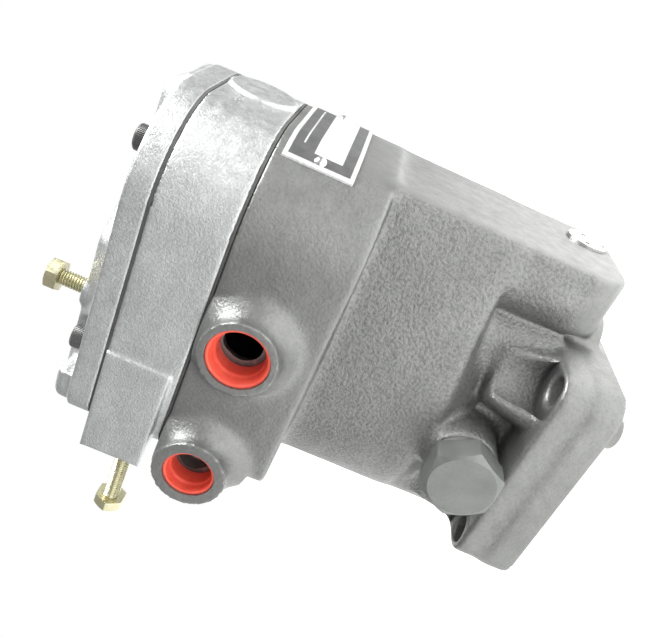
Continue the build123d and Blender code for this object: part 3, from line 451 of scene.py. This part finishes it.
def plate_face(name, low, high):
    """Etched plate: bright border and rules, dark field, one blank light panel and no lettering."""
    n = Nodes(name)
    n.shader.inputs["Metallic"].default_value = 0.55
    y, z = n.coordinate(1), n.coordinate(2)

    soft = 0.15 * MM

    def band(value, start, stop):
        rise = n.remap(value, start - soft, start + soft)
        fall = n.remap(value, stop - soft, stop + soft, 1.0, 0.0)
        return n.math("MULTIPLY", rise, fall)

    def panel(y0, y1, z0, z1):
        return n.math("MULTIPLY", band(y, y0, y1), band(z, z0, z1))

    edge, rule, margin = 1.5 * MM, 0.5 * MM, 5.5 * MM
    blank_from, blank_to, rule_at = 0.22, 0.62, 0.79      # shares of the height
    field = panel(low.y + edge, high.y - edge, low.z + edge, high.z - edge)
    tall = high.z - low.z
    blank = panel(low.y + margin, high.y - margin, low.z + blank_from * tall, low.z + blank_to * tall)
    at = low.z + rule_at * tall
    line = panel(low.y + 1.6 * margin, high.y - 1.6 * margin, at, at + rule)
    bright = n.math("MAXIMUM", n.math("SUBTRACT", 1.0, field), line)
    brushed = n.noise(700.0, 4.0, 0.6, (1.0, 0.12, 1.0))
    silver = n.mix(n.vary(brushed), (0.62, 0.63, 0.63, 1), (0.82, 0.82, 0.81, 1))
    cloud = n.vary(n.noise(240.0, 5.0))
    ink = n.mix(cloud, (0.115, 0.117, 0.117, 1), (0.16, 0.162, 0.16, 1))
    base = n.mix(bright, ink, silver)
    base = n.mix(blank, base, (0.84, 0.84, 0.82, 1))
    gloss = n.vary(brushed, 0.28, 0.42)
    height = n.math("ADD", bright, n.math("MULTIPLY", brushed, 0.2))
    return n.finish(base, gloss, n.bump(height, 0.06 * MM))


PLATE_LOW, PLATE_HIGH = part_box("nameplate")
MATERIALS = {
    "housing": casting_paint("painted_sand_casting", (0.235, 0.239, 0.232)),
    "bare_casting": bare_casting("bright_die_casting", (0.66, 0.67, 0.67)),
    "gasket": moulded("gasket_sheet", (0.075, 0.075, 0.072, 1), (0.032, 0.032, 0.032, 1),
                      (0.75, 0.95), 0.12),
    "black_steel": metal("black_oxide_steel", (0.15, 0.15, 0.148), 0.75, (0.30, 0.46), 1200.0, 0.015),
    "zinc": plated_zinc("yellow_zinc"),
    "plate": plate_face("etched_plate", PLATE_LOW, PLATE_HIGH),
    "plug_paint": metal("grey_green_paint", (0.175, 0.182, 0.172), 0.55, (0.34, 0.50),
                        1000.0, 0.05, 90.0, 0.16),
    "bright_steel": metal("turned_bright_steel", (0.70, 0.70, 0.69), 0.95, (0.18, 0.32), 1400.0, 0.012),
    "steel": metal("ground_steel", (0.46, 0.46, 0.45), 0.95, (0.24, 0.40), 1100.0, 0.015),
    "bronze": metal("bearing_bronze", (0.50, 0.33, 0.15), 0.9, (0.28, 0.44), 900.0, 0.02),
    "spring_steel": metal("oiled_spring_steel", (0.20, 0.20, 0.21), 0.9, (0.26, 0.42), 900.0, 0.02),
    "seal_rubber": moulded("seal_rubber", (0.020, 0.020, 0.020, 1), (0.010, 0.010, 0.010, 1),
                           (0.45, 0.65), 0.03),
    "soft_aluminium": metal("soft_aluminium", (0.42, 0.42, 0.41), 0.9, (0.26, 0.42), 900.0, 0.02),
    "red_plastic": moulded("red_moulded_plastic", (0.86, 0.115, 0.070, 1), (0.74, 0.080, 0.050, 1),
                           (0.34, 0.48), 0.02),
}


def paint(obj, slot_name):
    obj.data.materials.clear()
    obj.data.materials.append(MATERIALS[slot_name])


def stands_for(obj, node):
    """A finished piece takes the place of a CAD node: its look, from the node's material slot, and its body.
    """
    paint(obj, SLOT_OF[node])
    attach(obj, BODY_OF[node])
    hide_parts(node)


# ---- castings: remeshed so that their corners blend like poured metal ----------------------------
HOUSING_VOXEL, HOUSING_ROUNDS = ((0.75 * MM, 26))
UPPER_VOXEL, UPPER_ROUNDS = (0.6 * MM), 2
LAST_WEIGHT, LAST_ROUNDS = 0.30, 2     # a light smoothing of the whole skin, to lose the voxel steps
OFF_SKIN, FACING = 0.4 * MM, 0.05      # where a sight line starts, and how squarely it leaves the skin
CAST_CREASE = 50                       # degrees


def edge_ends(obj):
    """Both ends of every edge, and the number of edges at each vertex."""
    mesh = obj.data
    count = len(mesh.vertices)
    pairs = np.empty(len(mesh.edges) * 2, np.int64)
    mesh.edges.foreach_get("vertices", pairs)
    a, b = pairs.reshape(-1, 2).T
    degree = np.bincount(a, minlength=count) + np.bincount(b, minlength=count)
    return a, b, np.maximum(degree, 1)


def neighbour_mean(column, a, b, degree):
    count = len(column)
    return (np.bincount(a, column[b], count) + np.bincount(b, column[a], count)) / degree


def vertex_values(obj, kind):
    """The co or the normal of every vertex."""
    values = np.empty(len(obj.data.vertices) * 3)
    obj.data.vertices.foreach_get(kind, values)
    return values.reshape(-1, 3)


def relax(obj, weight, rounds):
    """Laplacian smoothing, weighted vertex by vertex."""
    co = vertex_values(obj, "co")
    ends = edge_ends(obj)
    for _ in range(rounds):
        for axis in range(3):
            column = co[:, axis]
            co[:, axis] = column + weight * (neighbour_mean(column, *ends) - column)
    obj.data.vertices.foreach_set("co", co.ravel())
    obj.data.update()


def spread(obj, value, rounds):
    """The same averaging for a number per vertex, so that weights change gently."""
    ends = edge_ends(obj)
    for _ in range(rounds):
        value = (value + neighbour_mean(value, *ends)) / 2
    return value


def open_to_air(obj, co, directions):
    """1 for the vertices that see out in some direction, 0 for those inside a cavity."""
    normals = vertex_values(obj, "normal")
    tree = BVHTree.FromPolygons([tuple(c) for c in co], [tuple(p.vertices) for p in obj.data.polygons])
    seen = np.zeros(len(co))
    start = co + normals * OFF_SKIN
    for index, point in enumerate(start):
        here, normal = Vector(point), Vector(normals[index])
        for direction in directions:
            if normal.dot(direction) > FACING and tree.ray_cast(here, direction)[0] is None:
                seen[index] = 1.0
                break
    return seen


def remesh(obj, voxel):
    modifier = obj.modifiers.new("remesh", "REMESH")
    modifier.mode, modifier.voxel_size = "VOXEL", voxel
    return apply_modifiers(obj)


def keep_in_box(obj, node):
    """Smoothing never takes a cast skin past the box of the node that it stands for."""
    low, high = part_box(node)
    co = vertex_values(obj, "co")
    obj.data.vertices.foreach_set("co", np.clip(co, tuple(low), tuple(high)).ravel())
    obj.data.update()


def relax_and_finish(obj, soft, rounds, node):
    relax(obj, soft, rounds)
    relax(obj, np.full(len(soft), LAST_WEIGHT), LAST_ROUNDS)
    keep_in_box(obj, node)


def centre_of(node):
    low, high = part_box(node)
    return (low + high) / 2, low, high


# Sight lines: level, down and up round the compass, then straight down.
SIGHT_LINES = [Vector((math.cos(t), math.sin(t), lift)).normalized()
               for lift in (0.0, -0.5, 0.35) for t in np.linspace(0, 2 * math.pi, 10, endpoint=False)]
SIGHT_LINES.append(Vector((0, 0, -1)))

PORT_FACE_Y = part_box("housing")[0].y
BORE_DEPTH, BORE_GAP, PLUG_EXTRA = 11 * MM, 0.02 * MM, 0.5 * MM
BOLT_ROOM = 26 * MM                    # clear height for a bolt head above the flange
BOSS_Y, BOSS_FACE_Y = -62.5 * MM, -70.0 * MM


def port_rod(name, centre, radius, near, far):
    """A rod along a port, from near to far behind the port's face."""
    start = (centre.x, PORT_FACE_Y + near, centre.z)
    return rod(name, radius, start, (centre.x, PORT_FACE_Y + far, centre.z))


def housing_softness(co, soft):
    """How far each region's corners blend: least at machined faces and at the shoulder's step."""
    soft[co[:, 2] > JOINT_Z - 3.0 * MM] = 0.0
    soft[co[:, 2] < 1.5 * MM] = 0.0
    soft[co[:, 2] < FLANGE_TOP_Z + 0.5 * MM] *= 0.45
    soft[np.abs(co[:, 2] - SHOULDER_Z) < 1.6 * MM] *= 0.25
    barrel = co[:, 2] > SHOULDER_Z + 1.0 * MM
    boss = co[:, 1] < BOSS_Y
    soft[barrel & ~boss] *= 0.6
    soft[co[:, 1] < BOSS_FACE_Y] = 0.0
    return soft


def cut_bolt_seats(body):
    for x, y in BOLT_SPOTS:
        top = FLANGE_TOP_Z + 2 * MM
        combine(body, rod("hole", BOLT_HOLE_R, (x, y, -2 * MM), (x, y, top)), "DIFFERENCE")
        seat = rod("seat", SPOTFACE_R + 0.05 * MM, (x, y, FLANGE_TOP_Z), (x, y, FLANGE_TOP_Z + BOLT_ROOM))
        combine(body, seat, "DIFFERENCE")


def cast_housing():
    """The port bores are filled before the remesh and cut again after it, so that they stay round."""
    body = welded_copy("housing", "housing_casting")
    bores = []
    for node in ("inlet_sleeve", "outlet_sleeve"):
        centre, low, high = centre_of(node)
        radius = (high.x - low.x) / 2
        bores.append((centre, radius + BORE_GAP))
        combine(body, port_rod("fill", centre, radius + PLUG_EXTRA, 0.1 * MM, BORE_DEPTH), "UNION")
    remesh(body, HOUSING_VOXEL)
    co = vertex_values(body, "co")
    soft = housing_softness(co, open_to_air(body, co, SIGHT_LINES))
    relax_and_finish(body, spread(body, soft, 6), HOUSING_ROUNDS, "housing")
    for centre, radius in bores:
        combine(body, port_rod("bore", centre, radius, -2 * MM, BORE_DEPTH + 0.5 * MM), "DIFFERENCE")
    cut_bolt_seats(body)
    smooth_shade(body, CAST_CREASE)
    stands_for(body, "housing")


def cast_upper(node, sight_lines, rim_heights):
    """The spacer or the cover: only light blending, and crisp joint faces."""
    piece = welded_copy(node, node + "_casting")
    remesh(piece, UPPER_VOXEL)
    co = vertex_values(piece, "co")
    soft = open_to_air(piece, co, sight_lines)
    for height in rim_heights:
        soft[np.abs(co[:, 2] - height) < 1.2 * MM] = 0.0
    relax_and_finish(piece, spread(piece, soft, 4), UPPER_ROUNDS, node)
    smooth_shade(piece, CAST_CREASE)
    stands_for(piece, node)


cast_housing()
cast_upper("spacer", SIGHT_LINES, (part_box("spacer")[0].z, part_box("spacer")[1].z))
cast_upper("cover", SIGHT_LINES + [Vector((0, 0, 1))], (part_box("cover")[0].z,))


# ---- fasteners and turned parts with their real detail ------------------------------------------
def prism_of(name, outline, z0, z1, matrix):
    count = len(outline)
    verts = [(x, y, z) for z in (z0, z1) for x, y in outline]
    faces = [list(range(count))[::-1], list(range(count, 2 * count))]
    faces += [[i, (i + 1) % count, (i + 1) % count + count, i + count] for i in range(count)]
    obj = mesh_from(name, verts, faces)
    obj.data.transform(matrix)
    fix_normals(obj)
    return obj


def hexagon(across_flats):
    radius = across_flats / math.sqrt(3)
    turns = np.linspace(0, 2 * math.pi, 6, endpoint=False)
    return [(radius * math.cos(t), radius * math.sin(t)) for t in turns]


CORNER_KEPT, CHAMFER_TO, FACE_TO = 0.985, 0.94, 0.93     # shares of the corner and flat radii


def hex_head(name, across_flats, height, matrix):
    """A hexagon whose corners are rounded a little, and chamfered at the free end."""
    head = prism_of(name, hexagon(across_flats), 0, height, matrix)
    corner, flat = across_flats / math.sqrt(3), across_flats / 2
    drop = (corner - flat * CHAMFER_TO) * math.tan(math.radians(30))
    outline = [(0, -1 * MM), (corner * CORNER_KEPT, -1 * MM), (corner * CORNER_KEPT, height - drop),
               (flat * FACE_TO, height), (0, height)]
    combine(head, lathe("turned", outline, matrix, 128), "INTERSECT")
    return head


ROWS_PER_TURN, THREAD_DEPTH, LEAD_IN, RUN_OUT = 10, 0.55, 1.2, 0.5     # depth and runs in pitches


def thread_radius(radius, length, pitch, h, turn):
    """The rod's radius at height h, for a share of a turn: trapezoid crests that grow from the tip."""
    phase = (h / pitch - turn) % 1.0
    crest = min(1.0, max(0.0, 1.35 * (1 - abs(2 * phase - 1)) - 0.1))
    lead = min(1.0, h / (LEAD_IN * pitch))
    cut = 1 - crest * lead if h < length - RUN_OUT * pitch else 0.15
    return radius - THREAD_DEPTH * pitch * cut


def threaded_rod(name, radius, length, pitch, matrix, segments=56):
    """A single start thread from the tip at height 0, running out just below the other end."""
    heights = list(np.linspace(0, length, int(length / pitch * ROWS_PER_TURN) + 1))
    verts, faces = [], []
    for h in heights:
        for i in range(segments):
            t = 2 * math.pi * i / segments
            r = thread_radius(radius, length, pitch, h, i / segments)
            verts.append((r * math.cos(t), r * math.sin(t), h))
    count = len(heights)
    for row in range(count - 1):
        low, high = row * segments, (row + 1) * segments
        for i in range(segments):
            j = (i + 1) % segments
            faces.append([low + i, low + j, high + j, high + i])
    faces.append(list(range(segments))[::-1])
    faces.append([(count - 1) * segments + i for i in range(segments)])
    obj = mesh_from(name, verts, faces)
    obj.data.transform(matrix)
    fix_normals(obj)
    return obj


STOP_HEAD_T, STOP_HEAD_AF, STOP_THREAD_R, STOP_PITCH = 5.0 * MM, 11.1 * MM, 3.175 * MM, 1.06 * MM
SINK = 0.5 * MM                        # how far one part of a screw runs into the next


def stop_screw(node, head_end, tip):
    """Hex head at head_end, thread down to tip."""
    head_end, tip = Vector(head_end), Vector(tip)
    inward = (tip - head_end).normalized()
    length = (tip - head_end).length
    screw = threaded_rod(node + "_threaded", STOP_THREAD_R - 0.01 * MM, length - STOP_HEAD_T + SINK,
                         STOP_PITCH, axis_matrix(tip, -inward))
    seat = head_end + inward * STOP_HEAD_T
    combine(screw, hex_head("head", STOP_HEAD_AF, STOP_HEAD_T, axis_matrix(seat, -inward)), "UNION")
    smooth_shade(screw, 42)
    stands_for(screw, node)


mid, low, high = centre_of("high_speed_screw")
stop_screw("high_speed_screw", (mid.x, mid.y, high.z), (mid.x, mid.y, low.z))
mid, low, high = centre_of("low_speed_screw")
stop_screw("low_speed_screw", (low.x, mid.y, mid.z), (high.x, mid.y, mid.z))

SOCKET_HEAD_H, SOCKET_AF, SOCKET_FLOOR, SHANK_R = 6.35 * MM, 4.8 * MM, 0.45, 3.16 * MM
KNURLS, KNURL_DEPTH = 44, 0.26 * MM
DOME_SHARE, DOME_OVER, DOME_ROUND = 0.86, 0.1 * MM, 0.5 * MM


def knurled_outline(radius):
    """Four points to each knurl: two on the crest and two in the groove."""
    outline = []
    for i in range(KNURLS * 4):
        r = radius - (0.0, 0.0, KNURL_DEPTH, KNURL_DEPTH)[i % 4]
        t = 2 * math.pi * i / (KNURLS * 4)
        outline.append((r * math.cos(t), r * math.sin(t)))
    return outline


def socket_screw(box):
    """A cap screw with a straight knurl round its head."""
    low, high = box
    x, y, radius = (low.x + high.x) / 2, (low.y + high.y) / 2, (high.x - low.x) / 2
    seat = high.z - SOCKET_HEAD_H
    matrix = Matrix.Translation((x, y, seat))
    head = prism_of("screw", knurled_outline(radius), 0, SOCKET_HEAD_H, matrix)
    outside, inside = radius + DOME_OVER, radius * 0.5
    dome = rounded([(inside, 0.0), (outside, 0.0), (outside, SOCKET_HEAD_H * DOME_SHARE),
                    (radius * DOME_SHARE, SOCKET_HEAD_H), (inside, SOCKET_HEAD_H)], DOME_ROUND)
    outer = [(0, 0)] + [p for p in dome if p[0] > radius * 0.51] + [(0, SOCKET_HEAD_H)]
    combine(head, lathe("dome", outer, matrix), "INTERSECT")
    socket = prism_of("socket", hexagon(SOCKET_AF), SOCKET_HEAD_H * SOCKET_FLOOR, SOCKET_HEAD_H + MM, matrix)
    combine(head, socket, "DIFFERENCE")
    combine(head, rod("shank", SHANK_R, (x, y, low.z), (x, y, seat + SINK), 48), "UNION")
    return head


def cover_screws():
    heads = [socket_screw(box) for box in island_boxes("cover_screws")]
    joined = bmesh.new()
    for head in heads:
        joined.from_mesh(head.data)
        bpy.data.objects.remove(head)
    mesh = bpy.data.meshes.new("cover_screws_knurled")
    joined.to_mesh(mesh)
    joined.free()
    piece = add_object("cover_screws_knurled", mesh)
    smooth_shade(piece, 28)
    stands_for(piece, "cover_screws")


PLUG_HEAD_T, PLUG_THREAD_R = 10 * MM, 9 * MM


def relief_plug():
    mid, low, high = centre_of("relief_plug")
    across = min(high.z - low.z, high.x - low.x)
    seat_y = low.y + PLUG_HEAD_T
    facing_out = axis_matrix((mid.x, seat_y, mid.z), (0, -1, 0))
    plug = hex_head("relief_plug_hex", across, PLUG_HEAD_T, facing_out)
    inner_end, outer_end = (mid.x, high.y, mid.z), (mid.x, seat_y - SINK, mid.z)
    combine(plug, rod("stem", PLUG_THREAD_R - 0.02 * MM, inner_end, outer_end), "UNION")
    smooth_shade(plug, 30)
    stands_for(plug, "relief_plug")


LIP, DISH_IN, DISH_DEPTH, DISH_FOOT = 1.1 * MM, 0.7 * MM, 3.4 * MM, 4.4 * MM


def port_sleeve(node, wall):
    """Moulded protector: rounded lip and a dished mouth down to its through hole."""
    mid, low, high = centre_of(node)
    outer, length = (high.x - low.x) / 2, high.y - low.y
    inner = outer - wall
    outline = [(inner, 0), (outer, 0), (outer, length), (outer - LIP, length),
               (inner + DISH_IN, length - DISH_DEPTH), (inner, length - DISH_FOOT)]
    facing_out = axis_matrix((mid.x, high.y, mid.z), (0, -1, 0))
    sleeve = lathe(node + "_moulded", rounded(outline, 0.45 * MM), facing_out)
    smooth_shade(sleeve, 60)
    stands_for(sleeve, node)


cover_screws()
relief_plug()
port_sleeve("inlet_sleeve", 2.8 * MM)
port_sleeve("outlet_sleeve", 2.1 * MM)


# ---- every other CAD node keeps its shape and gets its material ---------------------------------
for name, obj in frame["nodes"].items():
    if not obj.hide_render:
        for holder in obj.material_slots:
            holder.material = MATERIALS[SLOT_OF[name]]


# ---- stage, light and camera --------------------------------------------------------------------
FLOOR_SIZE, FLOOR_GAP, FLOOR_GLOW = 9.0, 0.5 * MM, 0.75
WHITE = (1, 1, 1, 1)


def pale_floor():
    size, level = FLOOR_SIZE, CAD_BOX[0][2] - FLOOR_GAP
    corners = [(-size, -size, level), (size, -size, level), (size, size, level), (-size, size, level)]
    floor = mesh_from("floor", corners, [[0, 1, 2, 3]])
    n = Nodes("pale_floor")
    tone = n.mix(n.vary(n.noise(3.0, 3.0)), (0.86, 0.86, 0.86, 1), (0.88, 0.88, 0.88, 1))
    n.shader.inputs["Emission Color"].default_value = WHITE
    n.shader.inputs["Emission Strength"].default_value = FLOOR_GLOW
    floor.data.materials.append(n.finish(tone, 0.9, n.bump(n.noise(200.0), 0.01 * MM)))


AIM = Vector((-0.003, 0.0, 0.095))
EYE = Vector((0.1365, -0.2652, 0.1160))
ROLL = math.radians(66.7)
SENSOR, LENS = 36.0, 37.6              # millimetres
NEAREST, FARTHEST = 0.01, 30.0
ROOM_LIGHT = 0.42


def camera():
    data = bpy.data.cameras.new("camera")
    data.sensor_width, data.lens = SENSOR, LENS
    data.clip_start, data.clip_end = NEAREST, FARTHEST
    cam = bpy.data.objects.new("camera", data)
    bpy.context.scene.collection.objects.link(cam)
    forward = (AIM - EYE).normalized()
    level_up = (Vector((0, 0, 1)) - forward * forward.z).normalized()
    level_right = forward.cross(level_up)
    up = level_up * math.cos(ROLL) + level_right * math.sin(ROLL)
    right = forward.cross(up)
    cam.matrix_world = Matrix.Translation(EYE) @ Matrix((right, up, -forward)).transposed().to_4x4()
    bpy.context.scene.camera = cam
    return right, up, forward


def softbox(name, direction, distance, size, power):
    data = bpy.data.lights.new(name, "AREA")
    data.shape, data.size, data.energy = "SQUARE", size, power
    lamp = bpy.data.objects.new(name, data)
    bpy.context.scene.collection.objects.link(lamp)
    direction = direction.normalized()
    lamp.location = AIM + direction * distance
    lamp.rotation_mode = "QUATERNION"
    lamp.rotation_quaternion = direction.to_track_quat("Z", "Y")


def room():
    """Even white light on the object, and a white backdrop behind it."""
    world = bpy.data.worlds.new("studio")
    bpy.context.scene.world = world
    world.use_nodes = True
    tree = world.node_tree
    backdrop = tree.nodes["Background"]
    backdrop.inputs["Color"].default_value = WHITE
    light = tree.nodes.new("ShaderNodeBackground")
    light.inputs["Color"].default_value = WHITE
    light.inputs["Strength"].default_value = ROOM_LIGHT
    rays = tree.nodes.new("ShaderNodeLightPath")
    chosen = tree.nodes.new("ShaderNodeMixShader")
    tree.links.new(rays.outputs["Is Camera Ray"], chosen.inputs[0])
    tree.links.new(light.outputs[0], chosen.inputs[1])
    tree.links.new(backdrop.outputs[0], chosen.inputs[2])
    tree.links.new(chosen.outputs[0], tree.nodes["World Output"].inputs["Surface"])


def studio():
    right, up, forward = camera()
    softbox("key", up * 0.85 - right * 0.55 - forward * 0.35, 0.75, 0.42, 13.0)
    softbox("fill", -forward * 0.9 + right * 0.35 - up * 0.1, 0.9, 0.6, 2.0)
    softbox("rim", Vector((-0.6, 0.8, 0.5)), 0.9, 0.8, 3.0)
    room()
    bpy.context.scene.view_settings.view_transform = "Standard"


pale_floor()
studio()
